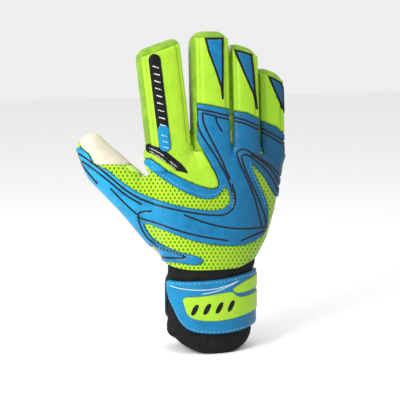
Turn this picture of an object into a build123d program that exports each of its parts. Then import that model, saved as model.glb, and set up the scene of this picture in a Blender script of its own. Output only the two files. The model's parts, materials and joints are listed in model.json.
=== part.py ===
"""Right-hand goalkeeper glove, standing on its cuff with the fingers up.

Frame: millimetres, +Z up the hand, -Y out of the back of the hand, -X towards the thumb.
The origin is the centre of the cuff's opening, on the plane that the cuff stands on.
The glove is a set of sewn walls round the space for a hand. Every digit folds at its root and
at its middle joint, and the four fingers also fold together along the knuckle line.
"""

import os
from math import cos, radians, sin, tan

from build123d import *

os.makedirs("parts", exist_ok=True)

# ---- Driving dimensions -------------------------------------------------------------------
CUFF_WIDTH, CUFF_DEPTH = 76.0, 56.0  # outside of the wrist tube
CUFF_WALL = 3.0  # neoprene
CUFF_TOP = 76.0
HEM_LIFT = 14.0  # how far the cuff's edge rises at its two sides
HEM_FLAT = 15.0  # half width of the flat stretch that the glove stands on

BACK_WALL, PALM_WALL, SIDE_WALL = 4.0, 6.0, 2.5  # backhand foam, palm latex, finger gusset
HAND_WALL = 3.0
PANEL = 2.2  # raised foam panels on the backhand
TRIM = 0.9  # thin rubber badges, inserts and hook-and-loop
SEAM_GAP = 0.4  # half gap between two parts that fold against each other
ROOT_SPARE = 2.0  # how far the cut at a finger's root runs past each side of the finger

KNUCKLE_Z, KNUCKLE_Y = 150.0, 1.0  # the line that all four fingers fold along
KNUCKLE_FOLD, ROOT_FOLD, MIDDLE_FOLD = 45.0, 25.0, 75.0  # degrees
THUMB_SWING, THUMB_FOLD = 15.0, 30.0
SPLIT_Y = 2.0  # where the backhand meets the palm

# Outer sections of the hand: height, centre x, centre y, width, depth
HAND_SECTIONS = [
    (76, 1.0, 0, 79, 54),
    (98, 3.5, 0, 101, 46),
    (124, 3.5, 0, 115, 40),
    (150, 6.0, 1, 121, 36),
    (190, 9.0, 2, 125, 29),
]

# Each digit: root point at the web, lean to the side and to the palm in degrees, width and
# depth of its stall, length above the web, and how far up its two folds are.
FINGERS = {
    "index": dict(root=(-37, 0, 177), lean=(-5.5, 4), size=(38.5, 27, 94), folds=(4, 31)),
    "middle": dict(root=(0, -3, 179), lean=(0, 4), size=(33, 26, 100), folds=(4, 33)),
    "ring": dict(root=(31, -1, 176), lean=(0, 5), size=(27, 25, 90), folds=(4, 30)),
    "little": dict(root=(58.5, 7, 167), lean=(0, 5), size=(26, 23, 77), folds=(4, 26)),
}
THUMB_ROOT = (-34, 8, 104)
THUMB_AXIS = (-0.674, 0.112, 0.730)
THUMB_ACROSS = (0.374, -0.801, 0.468)
THUMB_SIZE, THUMB_FOLDS = (36, 28, 107), (14, 60)
THUMB_HINGE = (-0.735, 0, -0.678)  # the whole thumb swings across the palm about this

EDGE_R = 8.0  # rounding along a finger
TIP_R = 11.0  # rounding of a fingertip's corners
CAVITY_R = 5.0
REACH = 160.0  # longer than anything that a cutting block has to clear

TIP_INSERTS = {"middle": 3.0, "ring": 3.0, "little": 3.5}  # sideways place of each blue insert


def keep(built, name):
    """Label a finished piece and write it as its own STEP file."""
    part = built.part
    part.label = name
    export_step(part, f"parts/{name}.step")


def finger_plane(finger, along=0.0):
    """Plane across a finger: x across the finger, y to the palm, z along the finger."""
    side, palm = (radians(a) for a in finger["lean"])
    direction = Vector(sin(side), cos(side) * sin(palm), cos(side) * cos(palm))
    start = Vector(*finger["root"]) + direction * along
    return Plane(origin=start, x_dir=(cos(side), 0, -sin(side)), z_dir=direction)


def thumb_plane(along=0.0):
    start = Vector(*THUMB_ROOT) + Vector(*THUMB_AXIS) * along
    return Plane(origin=start, x_dir=THUMB_ACROSS, z_dir=THUMB_AXIS)


def past_fold(plane, angle, half_width, proximal):
    """The block to cut off a wall at a fold: square on the back, mitred on the palm side."""
    side = -1 if proximal else 1
    slope = tan(radians(angle / 2 + 1.5))
    profile = Plane(origin=plane.origin, x_dir=plane.y_dir, z_dir=plane.x_dir)
    with BuildPart() as cutter:
        with BuildSketch(profile):
            with BuildLine():
                Polyline(
                    (-REACH / 2, side * SEAM_GAP),
                    (0, side * SEAM_GAP),
                    (REACH / 2, side * (SEAM_GAP + slope * REACH / 2)),
                    (REACH / 2, -side * REACH),
                    (-REACH / 2, -side * REACH),
                    close=True,
                )
            make_face()
        extrude(amount=half_width, both=True)
    return cutter.part


def stall_block(plane, width, start, length, corner, half_depth):
    """A digit's front outline, square at the root and rounded at the tip, made thick."""
    front = Plane(origin=plane.origin, x_dir=plane.x_dir, z_dir=-plane.y_dir)
    with BuildPart() as block:
        with BuildSketch(front) as outline:
            with Locations((0, (start + length) / 2)):
                Rectangle(width, length - start)
            fillet(outline.vertices().sort_by(Axis.Y)[-2:], radius=corner)
        extrude(amount=half_depth, both=True)
    return block.part


def digit_walls(plane_at, size, first, last):
    """Back, palm and gusset walls of one stretch of a digit.

    first and last are (place along the digit, fold angle); last is None at the tip.
    """
    width, depth, length = size
    root = plane_at(0)
    start = first[0] - 6
    with BuildPart() as form:
        add(stall_block(root, width, start, length, TIP_R, depth / 2))
        faces = form.faces().sort_by(Axis(root.origin, root.y_dir))
        along = Axis(root.origin, root.z_dir)
        rims = [face.edges().sort_by(along)[1:] for face in (faces[0], faces[-1])]
        fillet(rims[0] + rims[1], radius=EDGE_R)
        add(past_fold(plane_at(first[0]), first[1], width, False), mode=Mode.SUBTRACT)
        if last:
            add(past_fold(plane_at(last[0]), last[1], width, True), mode=Mode.SUBTRACT)
    inner_width, inner_length = width - 2 * SIDE_WALL, length - SIDE_WALL
    hollow = stall_block(root, inner_width, start - 1, inner_length, CAVITY_R, depth)
    back_face = Plane(
        origin=root.origin + root.y_dir * (BACK_WALL - depth / 2), z_dir=root.y_dir
    )
    palm_face = Plane(
        origin=root.origin + root.y_dir * (depth / 2 - PALM_WALL), z_dir=root.y_dir
    )
    with BuildPart() as back:
        add(form.part)
        split(bisect_by=back_face, keep=Keep.BOTTOM)
    with BuildPart() as palm:
        add(form.part)
        split(bisect_by=palm_face, keep=Keep.TOP)
    with BuildPart() as gusset:
        add(form.part)
        split(bisect_by=back_face, keep=Keep.TOP)
        split(bisect_by=palm_face, keep=Keep.BOTTOM)
        add(hollow, mode=Mode.SUBTRACT)
    return back, palm, gusset


def spine_link(plane, depth, start, end, ribs):
    """One link of the flexible strip under a finger's back that stops it bending backwards."""
    width, thickness, rib, clear = 11.0, 1.4, 1.0, 0.1
    under = BACK_WALL - depth / 2 + clear
    front = Plane(
        origin=plane.origin + plane.y_dir * under, x_dir=plane.x_dir, z_dir=plane.y_dir
    )
    with BuildPart() as link:
        with BuildSketch(front):
            with Locations((0, -(start + end) / 2)):
                RectangleRounded(width, end - start, 3)
        extrude(amount=thickness)
        pitch = (end - start) / (ribs + 1)
        with BuildSketch(front.offset(thickness)):
            with Locations(*[(0, -start - pitch * (n + 1)) for n in range(ribs)]):
                Rectangle(width - 2, 2.5)
        extrude(amount=rib)
    return link


def hand_form(grow):
    """The closed form of the hand from wrist to web, grown outwards all round."""
    with BuildPart() as form:
        for height, x, y, width, depth in HAND_SECTIONS:
            with BuildSketch(Plane.XY.offset(height)):
                with Locations((x, y)):
                    RectangleRounded(width + 2 * grow, depth + 2 * grow, depth / 2 + grow - 1)
        loft()
    return form.part


def front_prism(points, near=-60.0, far=SPLIT_Y - 6):
    """A front-view outline pushed through the back half of the hand."""
    with BuildPart() as prism:
        with BuildSketch(Plane.XZ.offset(-far)):
            with BuildLine():
                Polyline(*points, close=True)
            make_face()
        extrude(amount=far - near)
    return prism.part


def cuff_ring(inner, outer):
    """A tube round the cuff, from one distance off its outside to another."""
    with BuildPart() as ring:
        with BuildSketch():
            Ellipse(CUFF_WIDTH / 2 + outer, CUFF_DEPTH / 2 + outer)
            Ellipse(CUFF_WIDTH / 2 + inner, CUFF_DEPTH / 2 + inner, mode=Mode.SUBTRACT)
        extrude(amount=CUFF_TOP)
    return ring.part


# ---- Shared forms -------------------------------------------------------------------------
hand_outer = hand_form(0)
hand_inner = hand_form(-HAND_WALL)
hand_palm_inner = hand_form(-PALM_WALL + 1)
panel_outer = hand_form(PANEL)
badge_outer = hand_form(PANEL + TRIM)

knuckle_plane = Plane(origin=(0, KNUCKLE_Y, KNUCKLE_Z), x_dir=(1, 0, 0), z_dir=(0, 0, 1))
above_knuckles = past_fold(knuckle_plane, KNUCKLE_FOLD, REACH, True)
below_knuckles = past_fold(knuckle_plane, KNUCKLE_FOLD, REACH, False)

# Room for the thumb, which passes through the side of the hand and swings a little each way.
with BuildPart() as thumb_room:
    thumb_foot = thumb_plane(THUMB_FOLDS[0])
    with BuildPart(mode=Mode.PRIVATE) as sleeve:
        with BuildSketch(thumb_foot.offset(-8)):
            RectangleRounded(THUMB_SIZE[0] + 3, THUMB_SIZE[1] + 3, EDGE_R)
        extrude(amount=70)
    for swing in (-10, 0, THUMB_SWING):
        add(sleeve.part.rotate(Axis(thumb_foot.origin, THUMB_HINGE), swing))
thumb_room = thumb_room.part


def finger_roots_cut():
    """Everything above the fold at the root of each finger."""
    with BuildPart() as cut:
        for finger in FINGERS.values():
            plane = finger_plane(finger, finger["folds"][0])
            add(past_fold(plane, ROOT_FOLD, finger["size"][0] / 2 + ROOT_SPARE, True))
    return cut.part


above_roots = finger_roots_cut()

# ---- Wrist --------------------------------------------------------------------------------
with BuildPart() as wrist_cuff:
    add(cuff_ring(-CUFF_WALL, 0))
    side = CUFF_WIDTH / 2 + 5
    with BuildSketch(Plane.XZ.offset(-CUFF_DEPTH)):
        for way in (-1, 1):
            with BuildLine():
                bottom = Line((way * side, -5), (way * HEM_FLAT, -5))
                up = Line(bottom @ 1, (way * HEM_FLAT, 0))
                rise = ThreePointArc(
                    up @ 1, (way * (HEM_FLAT + 16), HEM_LIFT * 0.33), (way * side, HEM_LIFT + 6)
                )
                Line(rise @ 1, bottom @ 0)
            make_face()
    extrude(amount=2 * CUFF_DEPTH, mode=Mode.SUBTRACT)
keep(wrist_cuff, "wrist_cuff")

STRAP_OUTLINE = [
    (-39.8, 65.5), (-40.3, 57.5), (-39.3, 49.5), (-37, 40.5), (-34.5, 30.5), (-30, 22.5),
    (-22, 19.5), (0, 18), (18, 19.5), (48, 23), (48, 70.5), (18, 68.5), (0, 66.5),
]  # fmt: skip
LABEL_OUTLINE = [
    (-32, 50.5), (-28, 33.5), (-20, 30.5), (0, 30.5), (18, 33.5), (36, 38.5), (36, 51.5), (12, 55.5),
]  # fmt: skip
HOOK_OUTLINE = [(-34, 57.5), (-30, 37.5), (-8, 27.5), (-8, 57.5)]
LOOP_OUTLINE = [(-34, 63.5), (-34, 23.5), (26, 23.5), (26, 61.5)]
ANCHOR_Z, ANCHOR_HEIGHT = 43.5, 44.0  # the middle and height of the strap's fixed band
HINGE_GAP = 1.0  # the strap's flap starts this far in front of the cuff's widest line

with BuildPart() as strap_flap:
    add(cuff_ring(2.1, 4.6))
    add(front_prism(STRAP_OUTLINE, far=-HINGE_GAP), mode=Mode.INTERSECT)
keep(strap_flap, "strap_flap")

with BuildPart() as strap_label:
    add(cuff_ring(4.6, 4.6 + TRIM))
    add(front_prism(LABEL_OUTLINE, far=-HINGE_GAP), mode=Mode.INTERSECT)
keep(strap_label, "strap_label")

with BuildPart() as strap_hook_patch:
    add(cuff_ring(1.3, 2.1))
    add(front_prism(HOOK_OUTLINE, far=-HINGE_GAP), mode=Mode.INTERSECT)
keep(strap_hook_patch, "strap_hook_patch")

with BuildPart() as cuff_loop_patch:
    add(cuff_ring(0, 0.9))
    add(front_prism(LOOP_OUTLINE, far=-HINGE_GAP), mode=Mode.INTERSECT)
keep(cuff_loop_patch, "cuff_loop_patch")

with BuildPart() as strap_anchor:
    add(cuff_ring(0, 1.6))
    with Locations((4, CUFF_DEPTH / 2 + 0.5, ANCHOR_Z)):
        Box(CUFF_WIDTH + 8, CUFF_DEPTH, ANCHOR_HEIGHT, mode=Mode.INTERSECT)
keep(strap_anchor, "strap_anchor")


# ---- Hand, from the wrist to the knuckle line ------------------------------------------------
def hand_half(outer, inner, back):
    """Back or palm half of a hand shell, over its whole height."""
    with BuildPart() as half:
        add(outer)
        add(inner, mode=Mode.SUBTRACT)
        plane = Plane.XZ.offset(-SPLIT_Y)
        split(bisect_by=plane, keep=Keep.TOP if back else Keep.BOTTOM)
    return half.part


back_shell = hand_half(hand_outer, hand_inner, True)
palm_shell = hand_half(hand_outer, hand_palm_inner, False)
spine_shell = hand_half(hand_form(-HAND_WALL - 0.3), hand_form(-HAND_WALL - 1.7), True)
panel_shell = hand_half(panel_outer, hand_outer, True)
badge_shell = hand_half(badge_outer, panel_outer, True)

with BuildPart() as backhand_mesh:
    add(back_shell)
    add(above_knuckles, mode=Mode.SUBTRACT)
    add(thumb_room, mode=Mode.SUBTRACT)
keep(backhand_mesh, "backhand_mesh")

with BuildPart() as palm_latex:
    add(palm_shell)
    add(above_knuckles, mode=Mode.SUBTRACT)
    add(thumb_room, mode=Mode.SUBTRACT)
keep(palm_latex, "palm_latex")

MAIN_PANEL = [
    (7, 150), (9.5, 144), (13, 135), (12, 129), (5, 125.6), (-6, 124.7), (-27, 127), (-60, 136),
    (-60, 112), (-38, 104), (-21, 97.7), (0, 93.2), (22, 93), (33, 96), (44, 102), (49, 110),
    (50, 123), (48, 136), (41, 150),
]  # fmt: skip
SIDE_PANEL = [(45, 150), (50, 142), (60, 135), (75, 135), (75, 150)]
SHIELD_ROOT = [(-25, 150), (-16, 145.5), (-2, 143), (2, 146), (2, 150)]
INDEX_TRIM = [
    (-44, 150), (-37, 145), (-21, 137), (-7.5, 133.7), (3, 137), (6, 144), (6, 150),
    (2.6, 150), (2.6, 145.5), (-2, 142.4), (-16.3, 144.9), (-26, 150),
]  # fmt: skip
WRIST_WING = [
    (-66, 112), (-59, 101), (-49, 94), (-32, 88), (-16, 84), (-12, 80.5), (-16, 76), (-52, 76),
]  # fmt: skip


def hand_panel(points, shell):
    with BuildPart() as panel:
        add(shell)
        add(front_prism(points), mode=Mode.INTERSECT)
        add(above_knuckles, mode=Mode.SUBTRACT)
        add(thumb_room, mode=Mode.SUBTRACT)
    return panel


for name, outline in {
    "backhand_panel": MAIN_PANEL,
    "side_panel": SIDE_PANEL,
    "index_trim": INDEX_TRIM,
    "shield_root": SHIELD_ROOT,
    "wrist_wing": WRIST_WING,
}.items():
    keep(hand_panel(outline, panel_shell), name)


# ---- Knuckle band, from the knuckle line to the finger roots ----------------------------------
# The band stops short of the thumb's web, so that it clears the thumb as it folds.
THUMB_SIDE = [(-80, 140), (-40, 140), (-40, 150), (-52, 176), (-80, 176)]
thumb_side = front_prism(THUMB_SIDE, far=60)


def knuckle_piece(shell, points=None):
    with BuildPart() as piece:
        add(shell)
        add(thumb_side, mode=Mode.SUBTRACT)
        if points:
            add(front_prism(points), mode=Mode.INTERSECT)
        add(below_knuckles, mode=Mode.SUBTRACT)
        add(above_roots, mode=Mode.SUBTRACT)
    return piece


KNUCKLE_PANEL = [(-15, 148), (-15, 192), (80, 192), (80, 148)]
KNUCKLE_SHIELD = [(-60, 148), (-60, 192), (-17, 192), (-17, 148)]
keep(knuckle_piece(back_shell), "knuckle_mesh")
keep(knuckle_piece(palm_shell), "knuckle_palm")
keep(knuckle_piece(panel_shell, KNUCKLE_PANEL), "knuckle_panel")
keep(knuckle_piece(panel_shell, KNUCKLE_SHIELD), "knuckle_shield")

with BuildPart() as spine_roots:
    for across in (-37, 0, 31, 54):
        lower, upper = KNUCKLE_Z + 4, KNUCKLE_Z + 21
        pad = [(across - 5, lower), (across + 5, lower), (across + 5, upper), (across - 5, upper)]
        add(knuckle_piece(spine_shell, pad).part)
keep(spine_roots, "spine_roots")

# ---- Fingers ------------------------------------------------------------------------------
for name, finger in FINGERS.items():
    root_fold, middle_fold = finger["folds"]
    width, depth, length = finger["size"]

    def plane_at(along, finger=finger):
        return finger_plane(finger, along)

    base = digit_walls(
        plane_at, finger["size"], (root_fold, ROOT_FOLD), (middle_fold, MIDDLE_FOLD)
    )
    end = digit_walls(plane_at, finger["size"], (middle_fold, MIDDLE_FOLD), None)
    for stretch, walls in (("base", base), ("end", end)):
        for wall, piece in zip(("back", "palm", "gusset"), walls):
            keep(piece, f"{name}_{stretch}_{wall}")

    root = plane_at(0)
    keep(spine_link(root, depth, root_fold + 2, middle_fold - 1, 2), f"{name}_base_spine")
    keep(spine_link(root, depth, middle_fold + 1, length - 12, 5), f"{name}_end_spine")

    face = Plane(
        origin=root.origin - root.y_dir * depth / 2, x_dir=root.x_dir, z_dir=-root.y_dir
    )
    if name in TIP_INSERTS:
        across = TIP_INSERTS[name]
        with BuildPart() as insert:
            with BuildSketch(face):
                with BuildLine():
                    Polyline(
                        (across - 8, length - 9),
                        (across + 4, length - 9),
                        (across + 4, middle_fold + 8),
                        close=True,
                    )
                make_face()
            extrude(amount=TRIM)
        keep(insert, f"{name}_tip_insert")

index_root = finger_plane(FINGERS["index"])
index_face = Plane(
    origin=index_root.origin - index_root.y_dir * FINGERS["index"]["size"][1] / 2,
    x_dir=index_root.x_dir,
    z_dir=-index_root.y_dir,
)
with BuildPart() as index_badge:
    with BuildSketch(index_face):
        with Locations((0, 56)):
            SlotOverall(46, 10, rotation=90)
    extrude(amount=TRIM)
keep(index_badge, "index_badge")

# ---- Thumb --------------------------------------------------------------------------------
thumb_base = digit_walls(
    thumb_plane, THUMB_SIZE, (THUMB_FOLDS[0], THUMB_SWING), (THUMB_FOLDS[1], THUMB_FOLD)
)
thumb_end = digit_walls(thumb_plane, THUMB_SIZE, (THUMB_FOLDS[1], THUMB_FOLD), None)
for stretch, walls in (("base", thumb_base), ("end", thumb_end)):
    for wall, piece in zip(("back", "palm", "gusset"), walls):
        keep(piece, f"thumb_{stretch}_{wall}")
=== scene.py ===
"""Right-hand goalkeeper glove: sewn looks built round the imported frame. Millimetres inside."""

import json
import math

import bpy
import numpy as np
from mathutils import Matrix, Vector
from mathutils.kdtree import KDTree


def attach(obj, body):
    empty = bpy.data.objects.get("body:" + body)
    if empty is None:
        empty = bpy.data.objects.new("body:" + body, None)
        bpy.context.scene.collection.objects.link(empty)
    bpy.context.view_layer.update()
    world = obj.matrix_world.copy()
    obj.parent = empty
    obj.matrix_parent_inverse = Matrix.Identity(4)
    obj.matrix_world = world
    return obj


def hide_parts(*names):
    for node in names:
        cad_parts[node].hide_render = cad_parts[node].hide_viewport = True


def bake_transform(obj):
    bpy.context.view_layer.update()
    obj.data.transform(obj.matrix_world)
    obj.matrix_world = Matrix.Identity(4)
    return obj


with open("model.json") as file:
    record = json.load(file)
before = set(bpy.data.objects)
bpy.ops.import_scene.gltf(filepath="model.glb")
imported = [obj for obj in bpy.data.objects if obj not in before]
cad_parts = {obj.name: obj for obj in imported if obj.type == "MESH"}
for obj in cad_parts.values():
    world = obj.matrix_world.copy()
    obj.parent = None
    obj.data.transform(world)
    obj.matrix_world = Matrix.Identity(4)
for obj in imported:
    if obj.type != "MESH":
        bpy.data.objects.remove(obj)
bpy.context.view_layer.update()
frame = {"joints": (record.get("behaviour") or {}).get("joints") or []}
JOINTS = {joint["name"]: joint for joint in frame["joints"]}


def unit(v):
    v = np.asarray(v, float)
    return v / np.linalg.norm(v)


def smooth(t):
    t = np.clip(t, 0, 1)
    return t * t * (3 - 2 * t)


# ---- Where the digits are: their own axes, read from the joints ---------------------------
class Digit:
    """A digit's axes: x across it, y to its palm side, z along it; s is measured from its web.

    Its two stretches part at split. Zones are the starts and ends of its root's and its middle's
    bend. The thumb has no split or root zone, because it bends over its seam with the hand.
    """

    def __init__(self, name, bodies, root_along, size, slant, corner, split, zones):
        low, high = JOINTS[f"{name}_root_bend"], JOINTS[f"{name}_middle_bend"]
        foot = np.array(low["pos_m"]) * 1000
        knee = np.array(high["pos_m"]) * 1000
        self.name, self.bodies = name, bodies
        self.z = unit(knee - foot)
        across = -np.array(high["axis"], float)
        self.x = unit(across - (across @ self.z) * self.z)
        self.y = np.cross(self.z, self.x)
        self.root = foot - self.z * root_along
        self.width, self.depth, self.length = size
        self.slant, self.corner, self.split, self.zones = slant, corner, split, zones

    def local(self, p):
        d = p - self.root
        return d @ self.x, d @ self.y, d @ self.z

    def world(self, x, y, s):
        x, y, s = np.broadcast_arrays(np.asarray(x, float), y, s)
        return self.root + x[..., None] * self.x + y[..., None] * self.y + s[..., None] * self.z

    def point(self, s):
        return self.world(0, 0, s) * 0.001

    def top(self, x):
        """How far up the digit's end reaches, at a place across it."""
        return self.length + self.slant * x / (self.width / 2) - 1


INDEX = Digit("index", ("index_base", "index_end"), 4, (38.5, 27, 92), 4.5, 8, 15, (-3, 11, 16, 46))
MIDDLE = Digit("middle", ("middle_base", "middle_end"), 4, (33, 26, 100), 0, 11, 16, (-3, 11, 18, 48))
RING = Digit("ring", ("ring_base", "ring_end"), 4, (27, 25, 90), -4.0, 10, 15, (-3, 11, 15, 45))
LITTLE = Digit("little", ("little_base", "little_end"), 4, (26, 23, 77), -4.5, 10, 13, (-3, 11, 13, 39))
THUMB = Digit("thumb", ("thumb_base", "thumb_end"), 14, (36, 28, 112), 0, 8, None, (None, None, 68, 92))
FINGERS = (INDEX, MIDDLE, RING, LITTLE)
DIGITS = FINGERS + (THUMB,)

# ---- The drawing plane of the backhand: square to a line 18 degrees off and 8 above the front
AZIMUTH, ELEVATION = math.radians(-18), math.radians(8)
EYE = np.array(
    [
        math.sin(AZIMUTH) * math.cos(ELEVATION),
        -math.cos(AZIMUTH) * math.cos(ELEVATION),
        math.sin(ELEVATION),
    ]
)
RIGHT = np.array([math.cos(AZIMUTH), math.sin(AZIMUTH), 0.0])
UP = np.cross(RIGHT, -EYE)


def drawn(p):
    return np.stack([p @ RIGHT, p @ UP], -1)


def polyline_distance(q, points, closed=False):
    """Distance of each 2-D point from a polyline."""
    pts = np.array(points, float)
    ends = np.roll(pts, -1, 0) if closed else pts[1:]
    best = np.full(len(q), 1e9)
    for a, b in zip(pts, ends):
        ab = b - a
        t = np.clip(((q - a) @ ab) / (ab @ ab), 0, 1)
        best = np.minimum(best, np.linalg.norm(q - a - t[:, None] * ab, axis=1))
    return best


def inside(q, points):
    pts = np.array(points, float)
    hit = np.zeros(len(q), bool)
    for (x0, y0), (x1, y1) in zip(pts, np.roll(pts, -1, 0)):
        if y0 == y1:
            continue
        crosses = (q[:, 1] < y0) != (q[:, 1] < y1)
        hit ^= crosses & (q[:, 0] < x0 + (q[:, 1] - y0) * (x1 - x0) / (y1 - y0))
    return hit


def polygon_distance(q, points):
    """Distance from a closed outline, positive inside it."""
    d = polyline_distance(q, points, True)
    return np.where(inside(q, points), d, -d)


def rounded(points, rounds=2, closed=True):
    """Cuts an outline's corners, so that it runs as a curve."""
    pts = [np.array(p, float) for p in points]
    for _ in range(rounds):
        pairs = list(zip(pts, pts[1:] + pts[:1])) if closed else list(zip(pts, pts[1:]))
        new = [] if closed else [pts[0]]
        for a, b in pairs:
            new += [a * 0.75 + b * 0.25, a * 0.25 + b * 0.75]
        pts = new if closed else new + [pts[-1]]
    return np.array(pts)


# Outlines and lines on the drawing plane, in millimetres
NEON_INDEX = rounded(
    [
        (-110, 150), (-51.6, 168), (-45.7, 163), (-30.4, 152), (-10, 142.8), (3, 139.5), (8.5, 142),
        (7.5, 148), (4.3, 156), (-10, 180.5), (-14.5, 192), (-17, 200), (-17, 290), (-110, 290),
    ]
)  # fmt: skip
WINDOW = rounded(
    [
        (-60, 164), (-52, 159), (-45.7, 152), (-30.4, 141.6), (-15, 133.6), (-1.8, 130.2),
        (7, 132.5), (12.5, 140.5), (15.3, 141), (18.2, 133), (17.2, 126), (10.4, 122.2),
        (0, 121.1), (-20.5, 124.1), (-41, 129.5), (-59, 135.7), (-75.6, 146.4), (-91.7, 161),
        (-108, 174), (-116, 181), (-110, 200), (-85, 195), (-60, 175),
    ]
)  # fmt: skip
BAND = rounded(
    [
        (-58, 112.5), (-45.7, 106.9), (-30.4, 100.7), (-15.1, 94.8), (5.3, 90.7), (26.7, 90),
        (38, 93), (47.5, 99.2), (51.5, 107.2), (52.4, 119.7), (50.3, 131), (44.1, 143.7),
        (39, 155), (36.8, 163.5), (41.2, 157.5), (49, 149.2), (54, 140), (59, 132.5), (78, 122),
        (80, 90), (60, 60), (-60, 60), (-52, 74), (-44.6, 76.5), (-28.7, 76.5), (-19, 74.4),
        (-9, 73.6), (-3.6, 77.4), (-8, 81.6),
        (-25.3, 85.4), (-40.7, 91.5), (-50.8, 98.7),
    ]
)  # fmt: skip
BLUE_TOP = [
    (-30, 218), (-13.5, 214.2), (1.8, 211.7), (17.6, 208.7), (33.5, 206), (45, 200.5),
    (59.5, 194.8), (66, 189), (90, 174), (90, 30), (-150, 30), (-150, 218),
]  # fmt: skip
LEAF = rounded(
    [
        (-53.4, 179.5), (-52.6, 171.5), (-47.4, 169.4), (-37.2, 161.7), (-29, 156.2), (-16.5, 151.6),
        (-23.2, 161.1), (-31.1, 167.4), (-40, 174.9), (-48.8, 178),
    ],
    1,
)  # fmt: skip
WEB_BINDING = rounded(
    [(-73, 162.5), (-70, 156.5), (-58.5, 152.5), (-51.5, 156), (-53, 162), (-61, 163)], 1
)
MIDDLE_INSERT = [
    (-6.2, 274.5), (11.6, 274.5), (11.8, 245), (11.8, 217), (9.6, 217), (8.4, 227), (4, 240.7),
    (-2.2, 257.5),
]  # fmt: skip
RING_INSERT = [
    (20, 263.5), (28.5, 261.5), (36.8, 257), (38.2, 246), (39.8, 225), (41.4, 209), (39.8, 209),
    (36.2, 223), (27.6, 243),
]  # fmt: skip
LITTLE_INSERT = [
    (50, 240.3), (57, 238), (63, 234.4), (67, 224), (67, 206), (65, 206), (58.7, 219.9),
]  # fmt: skip

INK = [
    [(-10, 208.7), (4, 206), (17.6, 202.8), (31, 200.3), (44.1, 194), (52, 191), (66, 182.5)],
    [(-5.3, 205.2), (17, 199.7), (30.3, 197.5), (44, 190.7), (51.8, 187.6), (65, 179.4)],
    [(-10, 208.7), (-10, 194.8), (-5, 184), (4, 170), (12.5, 156), (18, 143), (21, 131)],
    [(-5.3, 205.2), (-5.3, 198), (-1, 187), (9, 168), (17.6, 148.8)],
    [(5.3, 202), (6, 197), (10.4, 190)],
    [
        (45.5, 107), (41.5, 124), (38.4, 134.9), (32.6, 148.4), (25.3, 164), (23.7, 169.7),
        (26, 173.8), (30.5, 175), (36, 172), (46, 165), (54.7, 160), (62, 151.5), (66, 144),
    ],
    [
        (48.4, 107.5), (49.1, 114), (45.5, 124), (40.5, 136), (34, 150), (28.6, 163.5),
        (28.3, 168.3), (31.6, 171), (38.4, 165.8), (49.9, 156.5), (57, 145), (59, 138),
    ],
    [(36, 170), (50, 161), (57, 153), (62, 140)],
    [(-21.3, 117.5), (-5, 111), (10.7, 106.9), (27.6, 105), (49, 107)],
    [(27.8, 95.1), (48.2, 104.4)],
    [
        (-113, 172), (-108, 169), (-88.6, 154.2), (-71.3, 139), (-57, 130), (-40.7, 124.6),
        (-15.1, 119.2), (5.3, 116.6), (15.6, 118.1), (21.7, 124.5), (22.9, 133.4), (19.6, 143.7),
    ],
    [(-108, 164.5), (-88, 149.5), (-72, 135.5), (-58, 127)],
    [
        (-50, 121), (-60, 121), (-61, 117), (-58, 115), (-45.7, 111.3), (-30.4, 105.3),
        (-10, 99.3), (15.6, 95.1),
    ],
    [
        (-61, 117), (-58.5, 107), (-52.5, 97.5), (-43.7, 90.5), (-33, 86.4), (-24, 83.6),
        (-19.5, 81.2), (-24, 80), (-40, 81.4),
    ],
    [(-113, 172), (-108, 160), (-96, 146)],
    [(-84, 141), (-72, 128), (-62, 119)],
]  # fmt: skip
INK = [rounded(line, 2, False) for line in INK]

STITCHES = [
    [(-49, 160.5), (-38, 150.3), (-25.3, 141.9), (-10, 135.6), (2.2, 134.2), (9.5, 137.5), (13.3, 145)],
    [(-106, 170), (-91, 158.3), (-75, 143.7), (-59, 133.2), (-47, 129.3)],
    [(34.8, 163.5), (37, 154), (42.2, 143), (46, 133), (48.5, 124)],
    [(-53, 96.5), (-42, 90.2), (-27, 84.6), (-14, 81.2)],
    [(18.8, 123), (21, 130), (19.2, 138)],
]
STITCHES = [rounded(line, 2, False) for line in STITCHES]
NEON_CREASE = 3.2  # how far in from a stall's edge its two sewn creases run

# ---- The closed soft form, before any panels ----------------------------------------------
HAND_SECTIONS = np.array(
    [
        (56, 0.0, 0.0, 77.0, 57.0),
        (76, 0.6, 0.0, 79.0, 56.0),
        (98, 3.0, 0.0, 100.0, 46.0),
        (124, 3.5, 0.0, 114.0, 40.0),
        (150, 5.5, 1.0, 119.0, 36.0),
        (172, 8.0, 1.8, 122.0, 31.0),
        (190, 9.0, 2.0, 123.0, 28.0),
    ]
)


def ring(cx, cy, half_w, half_d, power, count=48):
    a = np.linspace(0, 2 * math.pi, count, endpoint=False)
    c, s = np.cos(a), np.sin(a)
    x = cx + half_w * np.sign(c) * np.abs(c) ** (2 / power)
    y = cy + half_d * np.sign(s) * np.abs(s) ** (2 / power)
    return x, y


def rings_to_mesh(rings):
    """Quads between rings, closed at both ends."""
    n = len(rings[0])
    verts = np.concatenate(rings)
    faces = []
    for k in range(len(rings) - 1):
        for i in range(n):
            j = (i + 1) % n
            faces.append((k * n + i, k * n + j, (k + 1) * n + j, (k + 1) * n + i))
    faces.append(tuple(range(n))[::-1])
    faces.append(tuple(range((len(rings) - 1) * n, len(rings) * n)))
    return verts, faces


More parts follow.
